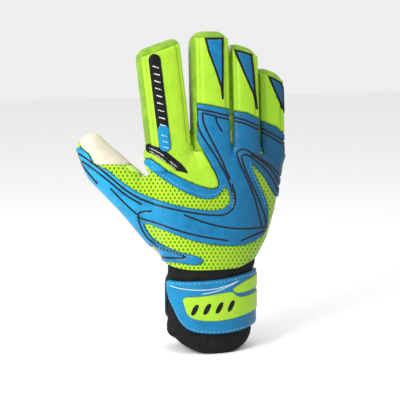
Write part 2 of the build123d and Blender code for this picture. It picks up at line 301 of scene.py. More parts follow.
def hand_rings():
    out = []
    for z in list(np.arange(58, 170, 4.0)) + [171, 174, 176.5, 178.5, 180]:
        cx, cy, w, d = (np.interp(z, HAND_SECTIONS[:, 0], HAND_SECTIONS[:, k]) for k in (1, 2, 3, 4))
        close = math.sqrt(max(0.06, 1 - (max(0, z - 168) / 12.5) ** 2))
        power = np.interp(z, (76, 120), (2.1, 2.6))
        x, y = ring(cx, cy, w / 2 - 3 * (1 - close), d / 2 * close, power, 64)
        droop = smooth((x - 36) / 28) * smooth((z - 120) / 50) * 8
        out.append(np.stack([x, y + droop * 0.5, np.full_like(x, z) - droop], -1))
    return out


def digit_rings(digit, start):
    half_w, half_d, corner = digit.width / 2, digit.depth / 2, digit.corner
    out = []
    stations = [(s, 1.0, 1.0) for s in np.arange(start, digit.length - corner, 3.0)]
    for phi in np.linspace(0, math.pi / 2, 11):
        wide = (half_w - corner + corner * math.cos(phi)) / half_w
        deep = max(0.10, math.cos(phi) ** 0.62)
        stations.append((digit.length - corner + corner * math.sin(phi), wide, deep))
    for s, wide, deep in stations:
        foot = 1 + 0.06 * smooth((6 - s) / 14)
        swell = 1 + 0.03 * math.sin(math.pi * np.clip(s / digit.length, 0, 1))
        tuck = -7.5 * smooth((6 - s) / 22) if digit is LITTLE else 0.0
        x, y = ring(tuck, 0, half_w * wide * foot, half_d * deep * swell, 2.9)
        lift = digit.slant * x / half_w * smooth((s / digit.length - 0.55) / 0.45)
        out.append(digit.world(x, y, s + lift))
    return out


def thumb_rings():
    """The thumb narrows to a nearly flat end, and is slimmer on its side towards the index."""
    out = []
    half_w, half_d, corner = THUMB.width / 2, THUMB.depth / 2, THUMB.corner
    stations = [(s, 1.0, 1.0) for s in np.arange(-14, THUMB.length - corner, 3.0)]
    for phi in np.linspace(0, math.pi / 2, 9):
        wide = (half_w - corner + corner * math.cos(phi)) / half_w
        deep = max(0.12, math.cos(phi) ** 0.6)
        stations.append((THUMB.length - corner + corner * math.sin(phi), wide, deep))
    for s, wide, deep in stations:
        grow = 1 + 0.16 * smooth((48 - s) / 50)
        x, y = ring(0, 0, half_w * wide * grow, half_d * deep * grow, 2.5)
        inward = smooth(0.5 + (x * 0.70 + y * 0.72) / 16)
        near_index = np.interp(s, (56, 93, 112), (1.0, 0.80, 0.74))
        far_side = np.interp(s, (82, 97, 112), (1.0, 0.74, 0.40))
        scale = far_side + (near_index - far_side) * inward
        out.append(THUMB.world(x * scale, y * scale, s))
    return out


def web_rings():
    """The web of mesh between the thumb and the side of the hand."""
    a, b = np.array([-44.0, 2.0, 128.0]), np.array([-56.0, 2.0, 155.0])
    out = []
    for t in np.linspace(0, 1, 9):
        r = 12 * math.sqrt(max(0.02, 1 - (t * 2 - 1) ** 2 * 0.96))
        x, y = ring(0, 0, r, r * 0.8, 2)
        out.append(a + (b - a) * t + np.stack([x, y, 0 * x], -1))
    return out


def mesh_object(name, verts, faces):
    mesh = bpy.data.meshes.new(name)
    mesh.from_pydata((np.asarray(verts) * 0.001).tolist(), [], [tuple(f) for f in faces])
    mesh.validate()
    mesh.update()
    obj = bpy.data.objects.new(name, mesh)
    bpy.context.scene.collection.objects.link(obj)
    return obj


def evaluated(obj):
    graph = bpy.context.evaluated_depsgraph_get()
    return bpy.data.meshes.new_from_object(obj.evaluated_get(graph))


def soft_form():
    verts, faces, base = [], [], 0
    bodies = [hand_rings(), thumb_rings(), web_rings()] + [digit_rings(f, -16) for f in FINGERS]
    for rings in bodies:
        v, f = rings_to_mesh(rings)
        verts.append(v)
        faces += [tuple(i + base for i in face) for face in f]
        base += len(v)
    obj = mesh_object("form", np.concatenate(verts), faces)
    remesh = obj.modifiers.new("remesh", "REMESH")
    remesh.mode, remesh.voxel_size = "VOXEL", 0.0013
    relax = obj.modifiers.new("relax", "SMOOTH")
    relax.factor, relax.iterations = 0.5, 7
    fine = obj.modifiers.new("fine", "SUBSURF")
    fine.levels = fine.render_levels = 1
    tri = obj.modifiers.new("tri", "TRIANGULATE")
    tri.quad_method = "SHORTEST_DIAGONAL"
    mesh = evaluated(obj)
    n, m = len(mesh.vertices), len(mesh.polygons)
    v = np.zeros(n * 3)
    mesh.vertices.foreach_get("co", v)
    normals = np.zeros(n * 3)
    mesh.vertices.foreach_get("normal", normals)
    t = np.zeros(m * 3, int)
    mesh.polygons.foreach_get("vertices", t)
    bpy.data.objects.remove(obj)
    return v.reshape(-1, 3) * 1000, normals.reshape(-1, 3), t.reshape(-1, 3)


V, N, T = soft_form()
for _ in range(2):  # panels rise along gently averaged normals
    total = np.zeros_like(N)
    for a, b in ((0, 1), (1, 2), (2, 0)):
        np.add.at(total, T[:, a], N[T[:, b]])
        np.add.at(total, T[:, b], N[T[:, a]])
    N = (total + N) / np.linalg.norm(total + N, axis=1)[:, None]
Q = drawn(V)
FACING = N @ EYE
LOCAL = {d.name: d.local(V) for d in DIGITS}

# Which digit each point is on: -1 the hand, 0 to 3 the fingers, 4 the thumb
OWNER = np.full(len(V), -1)
nearest = np.full(len(V), 1e9)
for k, finger in enumerate(FINGERS):
    x, y, s = LOCAL[finger.name]
    away = np.abs(x) / (finger.width / 2)
    mine = (s > -3.5) & (away < nearest) & (away < 1.35)
    OWNER[mine] = k
    nearest[mine] = away[mine]
tx, ty, ts = LOCAL["thumb"]
on_thumb = (ts > 2) & (np.abs(tx) < 26) & (np.abs(ty) < 21) & (V[:, 0] < -40) & (V[:, 2] < 196)
reach = tx * 0.55 + ty * 0.5 - (ts - 46) * 0.35
on_thumb &= (reach < 19) | (V[:, 0] < -60)
on_thumb &= ~((V[:, 0] > -57) & (V[:, 2] > 150))
OWNER[on_thumb & (OWNER < 0)] = 4


# The plane through the web where the thumb's skin meets the hand's, in millimetres. Up to the
# crotch neither joint moves a point on it. Above the crotch the knuckle fold still does.
SEAM_POINT = np.array([-54.0, 8.0, 130.0])
SEAM_OUT = np.array([-0.9945, 0.0, -0.1047])
SEAM_WIDTH = 8.0


def zone_of(p):
    """Name of the zone that each point bends with."""
    owner = OWNER[np.array([TREE.find(q)[1] for q in p], int)]
    zone = np.full(len(p), "hand", dtype="<U8")
    for k, digit in enumerate(FINGERS):
        s = digit.local(p)[2]
        zone[(owner == k) & (s < digit.split)] = f"{digit.name}_a"
        zone[(owner == k) & (s >= digit.split)] = f"{digit.name}_b"
    out = (p - SEAM_POINT) @ SEAM_OUT
    free = (owner == -1) | (owner == 4)
    zone[free & (out > 0)] = "thumb_a"
    zone[free & (out >= SEAM_WIDTH)] = "thumb_b"
    return zone


TREE = KDTree(len(V))
for number, place in enumerate(V):
    TREE.insert(place, number)
TREE.balance()


# ---- Layers cut out of the form ------------------------------------------------------------
def clip(field, triangles_of=None):
    """The form's triangles where field is positive, cut exactly along its zero line.

    Returns rows of weights: each new vertex is a mix of two form vertices.
    """
    f = field.copy()
    f[np.abs(f) < 1e-4] = 1e-4
    tri = T if triangles_of is None else triangles_of
    above = f[tri] > 0
    count = above.sum(1)
    whole = tri[count == 3]
    pairs, triangles = {}, []

    def vertex(a, b):
        key = (a, b) if a < b else (b, a)
        if key not in pairs:
            pairs[key] = len(pairs)
        return pairs[key]

    for row in whole:
        triangles.append([vertex(i, i) for i in row])
    for row, up in zip(tri[(count > 0) & (count < 3)], above[(count > 0) & (count < 3)]):
        poly = []
        for k in range(3):
            a, b = int(row[k]), int(row[(k + 1) % 3])
            if up[k]:
                poly.append(vertex(a, a))
            if up[k] != up[(k + 1) % 3]:
                poly.append(vertex(a, b))
        for k in range(1, len(poly) - 1):
            triangles.append([poly[0], poly[k], poly[k + 1]])
    key = np.array(list(pairs), int).reshape(-1, 2)
    fa, fb = f[key[:, 0]], f[key[:, 1]]
    mix = np.where(key[:, 0] == key[:, 1], 0.0, fa / np.where(fa == fb, 1, fa - fb))
    return key, mix, np.array(triangles, int).reshape(-1, 3)


def pick(values, key, mix):
    m = mix if values.ndim == 1 else mix[:, None]
    return values[key[:, 0]] * (1 - m) + values[key[:, 1]] * m


PIECES = {}


def build(name, verts, triangles, material, attributes, uv):
    obj = mesh_object(name, verts, triangles)
    mesh = obj.data
    for label, data in attributes.items():
        layer = mesh.attributes.new(label, "FLOAT", "POINT")
        layer.data.foreach_set("value", data.astype(np.float32))
    loops = np.zeros(len(mesh.loops), int)
    mesh.loops.foreach_get("vertex_index", loops)
    mesh.uv_layers.new(name="pattern").data.foreach_set("uv", uv[loops].ravel() / 100)
    mesh.shade_smooth()
    mesh.materials.append(material)
    PIECES[name] = obj
    return obj


def follow(obj, zone):
    """Bakes a piece's placement into its mesh. For a digit's zone the zone's points are looked up but not
    used: nothing bends.
    """
    if zone == "hand":
        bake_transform(obj)
        return
    if zone == "thumb_a":
        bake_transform(obj)
        return
    digit = next(d for d in DIGITS if zone.startswith(d.name))
    low, high, bend_low, bend_high = digit.zones
    if zone.endswith("_a"):
        digit.point(low)
        digit.point(high)
        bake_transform(obj)
    else:
        digit.point(bend_low)
        digit.point(bend_high)
        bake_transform(obj)


def layer(prefix, field, height, material, slot, edge=2.0, sink=0.5, ink=None, crease=None, pad=None):
    """A panel cut from the form, raised with rounded edges, and split into its zones."""
    key, mix, triangles = clip(field)
    if not len(triangles):
        return
    p, n, f = pick(V, key, mix), pick(N, key, mix), np.clip(pick(field, key, mix), 0, None)
    n /= np.linalg.norm(n, axis=1)[:, None]
    t = np.clip(1 - f / edge, 0, 1)
    rise = np.sqrt(np.clip(1 - t * t, 0, 1)) * (height + sink) - sink
    attributes = {"edge": f}
    for label, source, width, depth in (("ink", ink, 0.75, 1.0), ("crease", crease, 1.0, 0.9)):
        if source is None:
            continue
        d = pick(source, key, mix)
        rise = rise - depth * np.exp(-((d / width) ** 2))
        attributes[label] = d
    q = drawn(p)
    zones = zone_of(p[triangles].mean(1))
    for zone in sorted(set(zones)):
        mine = triangles[zones == zone]
        if len(mine) < 12:
            continue
        used, again = np.unique(mine, return_inverse=True)
        data = {k: v[used] for k, v in attributes.items()}
        obj = build(
            f"{prefix}_{zone}",
            (p + n * rise[:, None])[used],
            again.reshape(-1, 3),
            material,
            data,
            q[used],
        )
        follow(obj, zone)


# ---- Materials ------------------------------------------------------------------------------
class Nodes:
    """Short hand for wiring a material."""

    def __init__(self, name, roughness, coat=0.0, sheen=0.0, specular=0.25):
        self.material = bpy.data.materials.new(name)
        self.material.use_nodes = True
        self.tree = self.material.node_tree
        self.shader = self.tree.nodes["Principled BSDF"]
        self.shader.inputs["Roughness"].default_value = roughness
        self.shader.inputs["Coat Weight"].default_value = coat
        self.shader.inputs["Sheen Weight"].default_value = sheen
        self.shader.inputs["Specular IOR Level"].default_value = specular
        self.uv = self.tree.nodes.new("ShaderNodeUVMap")
        self.uv.uv_map = "pattern"
        self.height = None

    def link(self, a, b):
        self.tree.links.new(a, b)

    def math(self, operation, a, b=0.0, c=0.0):
        node = self.tree.nodes.new("ShaderNodeMath")
        node.operation = operation
        for socket, value in zip(node.inputs, (a, b, c)):
            if isinstance(value, (int, float)):
                socket.default_value = value
            else:
                self.link(value, socket)
        return node.outputs[0]

    def attribute(self, name):
        node = self.tree.nodes.new("ShaderNodeAttribute")
        node.attribute_name = name
        return node.outputs["Fac"]

    def noise(self, scale, detail=3.0):
        node = self.tree.nodes.new("ShaderNodeTexNoise")
        node.inputs["Scale"].default_value = scale
        node.inputs["Detail"].default_value = detail
        self.link(self.uv.outputs[0], node.inputs["Vector"])
        return node.outputs["Fac"]

    def ramp(self, value, low, high):
        node = self.tree.nodes.new("ShaderNodeMapRange")
        node.interpolation_type = "SMOOTHSTEP"
        self.link(value, node.inputs["Value"])
        node.inputs["From Min"].default_value = low
        node.inputs["From Max"].default_value = high
        return node.outputs["Result"]

    def mix(self, factor, a, b):
        node = self.tree.nodes.new("ShaderNodeMix")
        node.data_type = "RGBA"
        self.link(factor, node.inputs[0])
        for socket, value in ((node.inputs[6], a), (node.inputs[7], b)):
            if isinstance(value, tuple):
                socket.default_value = (*value, 1)
            else:
                self.link(value, socket)
        return node.outputs[2]

    def bump(self, height, strength, distance=0.001):
        node = self.tree.nodes.new("ShaderNodeBump")
        node.inputs["Strength"].default_value = strength
        node.inputs["Distance"].default_value = distance
        self.link(height, node.inputs["Height"])
        if self.height is not None:
            self.link(self.height, node.inputs["Normal"])
        self.height = node.outputs[0]
        self.link(self.height, self.shader.inputs["Normal"])

    def color(self, value):
        self.link(value, self.shader.inputs["Base Color"])

    def pattern(self):
        """The pattern's two coordinates: across the glove and up it."""
        split = self.tree.nodes.new("ShaderNodeSeparateXYZ")
        self.link(self.uv.outputs[0], split.inputs[0])
        return split.outputs[0], split.outputs[1]

    def holes(self, pitch, low, high):
        """A staggered grid of oval holes, 1 at a hole's middle. Pitch is in pattern units."""
        across, up = self.pattern()
        row_pitch = pitch * 0.86
        row = self.math("DIVIDE", up, row_pitch)
        index = self.math("FLOOR", row)
        odd = self.math("MULTIPLY", self.math("PINGPONG", index, 1.0), 0.5)
        column = self.math("ADD", self.math("DIVIDE", across, pitch), odd)
        dx = self.math("SUBTRACT", self.math("FRACT", column), 0.5)
        dy = self.math("MULTIPLY", self.math("SUBTRACT", self.math("FRACT", row), 0.5), 0.62)
        squares = self.math("ADD", self.math("MULTIPLY", dx, dx), self.math("MULTIPLY", dy, dy))
        r = self.math("SQRT", squares)
        return self.ramp(r, high, low)


def foam(name, lit_to_shaded, roughness, inked=False, coat=0.05):
    """Moulded foam, its colour painted from a lit tone on the thumb's side to a shaded tone on the little
    finger's side: painted light and shade.
    """
    m = Nodes(name, roughness, coat)
    across, _ = m.pattern()
    left, middle, right = lit_to_shaded
    # Painted light and shade: the colour runs from the lit tone on the thumb's side to the shaded tone on
    # the little finger's side.
    color = m.mix(m.ramp(across, -0.95, -0.05), left, middle)
    color = m.mix(m.ramp(across, -0.05, 0.62), color, right)
    color = m.mix(m.ramp(m.noise(9.0), 0.35, 1.1), color, right)
    # Painted shade: the last 0.9 mm of each panel's rounded edge darkens to 0.45 of the shaded tone, where
    # it rolls down against the layer below.
    color = m.mix(m.ramp(m.attribute("edge"), 0.9, 0.0), color, tuple(c * 0.45 for c in right))
    if inked:
        color = m.mix(m.ramp(m.attribute("ink"), 1.0, 0.62), color, (0.004, 0.006, 0.012))
    m.color(color)
    m.bump(m.noise(330.0, 2.0), 0.10)
    m.bump(m.noise(28.0, 2.0), 0.25, 0.002)
    return m.material


def mesh_cloth(name, bright, dark):
    m = Nodes(name, 0.75, 0.0, 0.25)
    holes = m.holes(0.037, 0.14, 0.29)
    across, _ = m.pattern()
    # Painted light and shade: the mesh runs from the lit tone on the thumb's side to the shaded tone on
    # the little finger's side.
    color = m.mix(m.ramp(across, -0.6, 0.6), bright, dark)
    # The holes are only colour and bump: their dark green is the backing seen through them, painted in
    # shade.
    m.color(m.mix(holes, color, (0.085, 0.17, 0.001)))
    m.bump(m.math("SUBTRACT", 1.0, holes), 0.8, 0.0012)
    m.bump(m.noise(300.0, 2.0), 0.2, 0.0006)
    return m.material


def plain_cloth(name, bright, dark, weave=420.0, roughness=0.7, strength=0.25, sheen=0.15):
    m = Nodes(name, roughness, 0.0, sheen, 0.25 if sheen else 0.12)
    m.color(m.mix(m.ramp(m.noise(14.0), 0.3, 0.7), bright, dark))
    m.bump(m.noise(weave, 2.0), strength, 0.0006)
    m.bump(m.noise(22.0, 2.0), 0.3, 0.002)
    return m.material


# Painted light and shade: each foam's lit tone (thumb's side), middle tone and shaded tone (little
# finger's side).
NEON_LIT_TO_SHADED = ((0.32, 0.55, 0.026), (0.29, 0.51, 0.019), (0.21, 0.40, 0.010))
BLUE_LIT_TO_SHADED = ((0.0, 0.30, 0.56), (0.0, 0.145, 0.32), (0.0, 0.055, 0.125))
NEON_FOAM = foam("neon_foam", NEON_LIT_TO_SHADED, 0.42)
NEON_CLOTH = plain_cloth("neon_cloth", (0.19, 0.37, 0.006), (0.13, 0.27, 0.004))
# Lit and shaded tones of the mesh: painted light and shade.
NEON_MESH = mesh_cloth("neon_mesh", (0.34, 0.60, 0.002), (0.20, 0.38, 0.001))
BLUE_FOAM = foam("blue_foam", BLUE_LIT_TO_SHADED, 0.40, inked=True)
BLUE_PLAIN = foam("blue_plain", BLUE_LIT_TO_SHADED, 0.40)
THREAD = plain_cloth("thread", (0.16, 0.48, 0.68), (0.12, 0.40, 0.58), 400.0, 0.6, 0.1)
LATEX = plain_cloth("latex", (0.58, 0.525, 0.42), (0.53, 0.475, 0.375), 500.0, 0.85)
BLACK_CLOTH = plain_cloth(
    "black_cloth", (0.006, 0.007, 0.008), (0.011, 0.012, 0.013), 460.0, 0.8, 0.5, 0.0
)
BLACK_PRINT = plain_cloth(
    "black_print", (0.005, 0.005, 0.006), (0.008, 0.009, 0.010), 460.0, 0.5, 0.1, 0.0
)
WHITE_PRINT = plain_cloth("white_print", (0.66, 0.68, 0.68), (0.60, 0.62, 0.63), 400.0, 0.6, 0.1)
PALE_NEON = plain_cloth("pale_neon", (0.48, 0.68, 0.12), (0.40, 0.58, 0.08))

# ---- Fields that the layers are cut by -------------------------------------------------------
FAR = 1e3  # a field's value where it sets no limit; -FAR leaves a point out


def stall_field(margin, top_gap, deepest=1.0):
    """Positive on the back panel of each finger's stall and everywhere on the hand's back."""
    f = np.full(len(V), FAR)
    for k, finger in enumerate(FINGERS):
        x, y, s = LOCAL[finger.name]
        mine = (OWNER == k) | ((np.abs(x) < finger.width / 2 + 2) & (s > -30) & (OWNER < 0))
        side = np.maximum(finger.width / 2 - margin - np.abs(x), 3 - s)
        side = np.minimum(side, finger.top(x) - top_gap - s)
        side = np.where(s > 4, np.minimum(side, deepest - y), side)
        f = np.where(mine, np.minimum(f, side), f)
    return f


thumb_back = np.where(OWNER == 4, 4.5 - ty, FAR)
thumb_back = np.minimum(thumb_back, np.where(OWNER == 4, (FACING + 0.55) * 22, FAR))
thumb_back = np.minimum(thumb_back, np.where(OWNER == 4, THUMB.length - 3 - ts, FAR))
back_limit = np.where(OWNER < 0, np.minimum((FACING + 0.35) * 25, 6.5 - V[:, 1]), FAR)

stall = stall_field(2.0, 4.6)
in_window = polygon_distance(Q, WINDOW)
in_band = polygon_distance(Q, BAND)
in_neon = polygon_distance(Q, NEON_INDEX)
below_top = polygon_distance(Q, BLUE_TOP)
front = np.where(FACING > -0.5, FAR, -1.0)
is_index = OWNER == 0

wrist = V[:, 2] - (77.5 - 3.0 * smooth(-V[:, 1] / 25) + 4.0 * smooth((V[:, 0] - 14) / 24))
blue = np.minimum.reduce(
    [
        -in_window, -in_band, np.where(is_index, -FAR, -in_neon), below_top, stall,
        thumb_back, back_limit, wrist - 0.8, front,
    ]
)  # fmt: skip
blue = np.where((OWNER == 4) | (Q[:, 0] < -54), np.minimum(blue, -in_window), blue)
ink = np.minimum.reduce([polyline_distance(Q, line) for line in INK])
layer("blue", blue, 2.1, BLUE_FOAM, "blue_foam", 1.8, ink=ink, pad=0.9)

crease = np.full(len(V), 50.0)
for k, finger in enumerate(FINGERS):
    x, y, s = LOCAL[finger.name]
    line = np.abs(np.abs(x) - (finger.width / 2 - 2.6 - NEON_CREASE))
    crease = np.where((OWNER == k) & (s > 6), np.minimum(crease, line), crease)
neon_region = np.where(is_index | (in_neon > 0), FAR, -below_top)
neon_region = np.where((OWNER >= 1) & (OWNER <= 3), -below_top, neon_region)
neon = np.minimum.reduce(
    [
        stall, neon_region, np.where(OWNER == 4, -FAR, FAR), back_limit, front,
        np.where(OWNER <= 0, in_neon, FAR),
    ]
)  # fmt: skip
layer("neon", neon, 2.1, NEON_FOAM, "neon_foam", 2.2, crease=crease, pad=0.9)

# Palm latex wraps round each fingertip and up the near side of the thumb's end.
palm = np.where(OWNER < 0, V[:, 1] - 8.0 + 0.02 * (V[:, 2] - 120), -FAR)
for k, finger in enumerate(FINGERS):
    x, y, s = LOCAL[finger.name]
    tucked = 5.0 * smooth(-x / (finger.width * 0.4)) * (finger in (INDEX, MIDDLE))
    start = 3.5 + np.maximum(tucked, 5.0 * smooth((s - finger.length + 14) / 10))
    shown = y - start
    if finger in (RING, LITTLE):
        shown = np.maximum(shown, np.minimum(-x - finger.width * 0.40, y + 8.0))
    palm = np.where(OWNER == k, shown, palm)
wrap = np.where(ts > 30, np.minimum(ts - 52 - 0.9 * ty, tx * 0.9 + 40), -FAR)
thumb_palm = np.maximum(ty - 6.0, np.minimum(wrap, tx - 2.0))
thumb_palm = np.minimum(thumb_palm, np.maximum(Q[:, 1] - 160.5, -(FACING + 0.05) * 25))
palm = np.where(OWNER == 4, thumb_palm, palm)
palm = np.minimum(palm, wrist - 0.8)
palm = np.minimum(palm, np.where(OWNER == 4, -blue - 0.4, FAR))
layer("palm", palm, 1.6, LATEX, "latex", 1.6, pad=0.8)
binding = np.minimum(polygon_distance(Q, WEB_BINDING), np.where(FACING > -0.2, FAR, -1.0))
layer("web_binding", np.minimum(binding, -palm - 0.2), 1.1, PALE_NEON, "neon_foam", 1.0)

# The form itself shows as mesh on the hand and as plain cloth between the finger panels.
on_finger = (OWNER >= 0) & (OWNER <= 3)
layer(
    "mesh", np.minimum(np.where(on_finger, -1.0, 1.0), wrist), 0.0, NEON_MESH, "neon_mesh", 0.5, 0.0
)
layer("gusset", np.where(on_finger, 1.0, -1.0), 0.0, NEON_CLOTH, "neon_foam", 0.5, 0.0)

# ---- Badges and inserts ----------------------------------------------------------------------
for name, outline, owner in (
    ("middle", MIDDLE_INSERT, 1),
    ("ring", RING_INSERT, 2),
    ("little", LITTLE_INSERT, 3),
):
    shape = np.where(OWNER == owner, polygon_distance(Q, outline), -1.0)
    shape = np.minimum(shape, np.minimum(stall - 0.5, np.where(FACING > 0, FAR, -1)))
    layer(f"insert_edge_{name}", shape, 2.6, BLACK_PRINT, "black_neoprene", 0.8)
    layer(f"insert_{name}", shape - 1.5, 3.1, BLUE_PLAIN, "blue_foam", 1.2)
leaf = np.minimum(polygon_distance(Q, LEAF), np.where((OWNER <= 0) & (FACING > 0), FAR, -1))
layer("leaf_badge", leaf, 2.8, BLACK_PRINT, "black_neoprene", 0.8)
LEAF_STRIPES = [
    [(-49.5, 175.2), (-41.5, 170.2), (-34.5, 163.6), (-28, 158.6)],
    [(-49.3, 172.6), (-42.6, 167.4), (-36, 161.8), (-29.5, 157.8)],
]
stripe = np.minimum.reduce([polyline_distance(Q, rounded(line, 1, False)) for line in LEAF_STRIPES])
layer(
    "leaf_stripe",
    np.minimum(leaf - 0.6, 0.5 - stripe),
    3.3,
    WHITE_PRINT,
    "neon_foam",
    0.3,
)
BAR = [(-46.9, 249.5), (-38.0, 176.4)]
bar = np.where(is_index & (FACING > 0), 5.2 - polyline_distance(Q, BAR), -1.0)
along = (Q - np.array(BAR[0])) @ unit(np.array(BAR[1]) - np.array(BAR[0]))
across = (Q - np.array(BAR[0])) @ np.array([0.9927, 0.1209])
layer("bar_badge", bar, 2.9, BLACK_PRINT, "black_neoprene", 0.8)
pill = np.where(
    is_index & (FACING > 0), 5.0 - polyline_distance(Q, [(-39.8, 190.5), (-38.0, 176.4)]), -1.0
)
layer("pill_badge", pill, 3.3, BLUE_PLAIN, "blue_foam", 1.0)
# Plain slanted strokes stand where the badge carries print.
stroke_at = [6 + 6.2 * k for k in range(9)] + [64.5, 69.5, 74.5]
strokes = np.full(len(V), -1.0)
for place in stroke_at:
    slanted = along - place - across * 0.45
    strokes = np.maximum(strokes, np.minimum(0.75 - np.abs(slanted), 2.6 - np.abs(across)))
layer("bar_strokes", np.where(bar > 0.8, strokes, -1), 3.5, WHITE_PRINT, "latex", 0.3, 0.2)


# ---- Stitching, as separate short threads on the panels ---------------------------------------
THREAD_RADIUS = 0.22


def capsule_faces(base):
    """Quads of one thread, made of 5 rings of 8 points."""
    faces = []
    for first in range(base, base + 32, 8):
        for i in range(8):
            j = (i + 1) % 8
            faces.append((first + i, first + j, first + 8 + j, first + 8 + i))
    return faces


def thread_run(name, line, lift, pitch=2.8, length=1.7, radius=THREAD_RADIUS):
    """Small capsules laid along a drawn line, on the surface that faces the drawing plane."""
    pts = np.array(line, float)
    steps = np.linalg.norm(np.diff(pts, axis=0), axis=1)
    place = np.concatenate([[0], np.cumsum(steps)])
    visible = (FACING > 0.05) & (OWNER != 0)
    candidates = np.where(visible)[0]
    groups = {}
    for start in np.arange(1, place[-1] - length, pitch):
        ends = []
        for at in (start, start + length):
            q = np.array([np.interp(at, place, pts[:, 0]), np.interp(at, place, pts[:, 1])])
            near = candidates[np.argmin(((Q[candidates] - q) ** 2).sum(1))]
            shift = RIGHT * (q - Q[near])[0] + UP * (q - Q[near])[1]
            ends.append((V[near] + shift + N[near] * lift, N[near]))
        zone = zone_of(np.array([(ends[0][0] + ends[1][0]) / 2]))[0]
        groups.setdefault(zone, []).append(ends)
    for zone, all_ends in groups.items():
        verts, faces = [], []
        for (a, na), (b, _) in all_ends:
            axis = unit(b - a)
            side = unit(np.cross(axis, na))
            over = np.cross(side, axis)
            base = len(verts)
            for t, r in ((0, 0.2), (0.18, 0.9), (0.5, 1.1), (0.82, 0.9), (1, 0.2)):
                c = a + (b - a) * t - over * radius * (1 - math.sin(math.pi * t)) * 0.8
                for k in range(8):
                    w = 2 * math.pi * k / 8
                    verts.append(c + (side * math.cos(w) + over * math.sin(w)) * radius * r)
            faces += capsule_faces(base)
        v = np.array(verts)
        obj = build(f"{name}_{zone}", v, faces, THREAD, {}, drawn(v))
        follow(obj, zone)


STITCH_LIFT = 2.25
for k, line in enumerate(STITCHES):
    thread_run(f"stitch_{k}", line, STITCH_LIFT)

# ---- Cuff and strap ----------------------------------------------------------------------------
HALF_W, HALF_D = 38.0, 28.0
CUFF_TOP, CUFF_INNER_TOP = 84, 77
MM_PER_DEGREE = 0.62  # round the cuff


def hem(angle):
    """Height of the cuff's lower edge, by angle round from the front: low at front and back."""
    return max(0.15, 22.3 * (1.015 - math.sqrt(math.cos(angle) ** 2 + 0.03)) - 0.8)


def cuff_point(angle, off, z):
    out = unit([math.sin(angle) / HALF_W, -math.cos(angle) / HALF_D, 0])
    base = np.array([HALF_W * math.sin(angle), -HALF_D * math.cos(angle), 0])
    return base + out * off + np.array([0, 0, z])


def cuff():
    count, verts = 144, []
    rows = [("outer", t) for t in np.linspace(1, 0, 44)]
    rows += [("round", k) for k in (0.25, 0.5, 0.75, 1.0)]
    rows += [("inner", t) for t in np.linspace(0.02, 1, 16)]
    for kind, t in rows:
        for i in range(count):
            angle = 2 * math.pi * i / count
            low = hem(angle)
            if kind == "outer":
                z = low + 1.5 + (CUFF_TOP - low - 1.5) * t
                flare = 4.6 * smooth((z - 60) / 18) * max(0.0, math.sin(angle)) ** 2
                wave = 0.35 * math.sin(z * 0.42 + 2 * math.sin(angle * 2))
                crumple = wave * smooth(t * 3) * (1 - smooth((t - 0.8) * 4))
                band = 0.5 * smooth((9 - (z - low)) / 1.5)
                under = 3.4 * smooth((z - 71) / 11) * math.cos(angle) ** 2
                off = flare - under - 0.6 * smooth((z - 66) / 8) - 0.3 + crumple * 0.7 + band
                verts.append(cuff_point(angle, off, z))
            elif kind == "round":
                a = math.pi * t
                verts.append(cuff_point(angle, -1.5 + 1.7 * math.cos(a), low + 1.5 - 1.5 * math.sin(a)))
            else:
                verts.append(cuff_point(angle, -3.2, low + 1.5 + (CUFF_INNER_TOP - low) * t))
    faces = []
    for k in range(len(rows) - 1):
        for i in range(count):
            j = (i + 1) % count
            faces.append((k * count + i, k * count + j, (k + 1) * count + j, (k + 1) * count + i))
    v = np.array(verts)
    angles = np.tile(np.arange(count) / count * 210, len(rows))
    uv = np.stack([angles, v[:, 2]], -1)
    obj = build("cuff", v, faces, BLACK_CLOTH, {}, uv)
    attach(obj, "hand")


def band_sheet(name, outline, low, high, material, body, edge=1.2, step=1.0):
    """A curved sheet round the cuff with its outline in (angle in degrees, height), rounded edges."""
    flat = [(a * MM_PER_DEGREE, z) for a, z in outline]
    lo = np.min(np.array(flat), 0) - 2
    hi = np.max(np.array(flat), 0) + 2
    xs = np.arange(lo[0], hi[0], step * 0.6)
    zs = np.arange(lo[1], hi[1], step * 0.6)
    gx, gz = np.meshgrid(xs, zs)
    q = np.stack([gx.ravel(), gz.ravel()], -1)
    d = polygon_distance(q, rounded(flat, 2))
    nx = len(xs)
    i = np.arange(len(q)).reshape(len(zs), nx)
    a, b, c, e = i[:-1, :-1].ravel(), i[:-1, 1:].ravel(), i[1:, 1:].ravel(), i[1:, :-1].ravel()
    grid = np.concatenate([np.stack([a, b, c], -1), np.stack([a, c, e], -1)])
    key, mix, triangles = clip(d, grid)
    p, f = pick(q, key, mix), np.clip(pick(d, key, mix), 0, None)
    t = np.clip(1 - f / edge, 0, 1)
    rise = np.sqrt(np.clip(1 - t * t, 0, 1))
    outer = low + (high - low) * rise
    turn = np.radians(p[:, 0] / MM_PER_DEGREE)
    top = np.array([cuff_point(a, o, z) for a, o, z in zip(turn, outer, p[:, 1])])
    under = np.array([cuff_point(a, low, z) for a, z in zip(turn, p[:, 1])])
    verts = np.concatenate([top, under])
    faces = np.concatenate([triangles, triangles[:, ::-1] + len(p)])
    attributes = {"edge": np.concatenate([f, f]), "ink": np.full(len(verts), 50.0)}
    obj = build(name, verts, faces, material, attributes, np.concatenate([p, p]))
    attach(obj, body)
    return obj


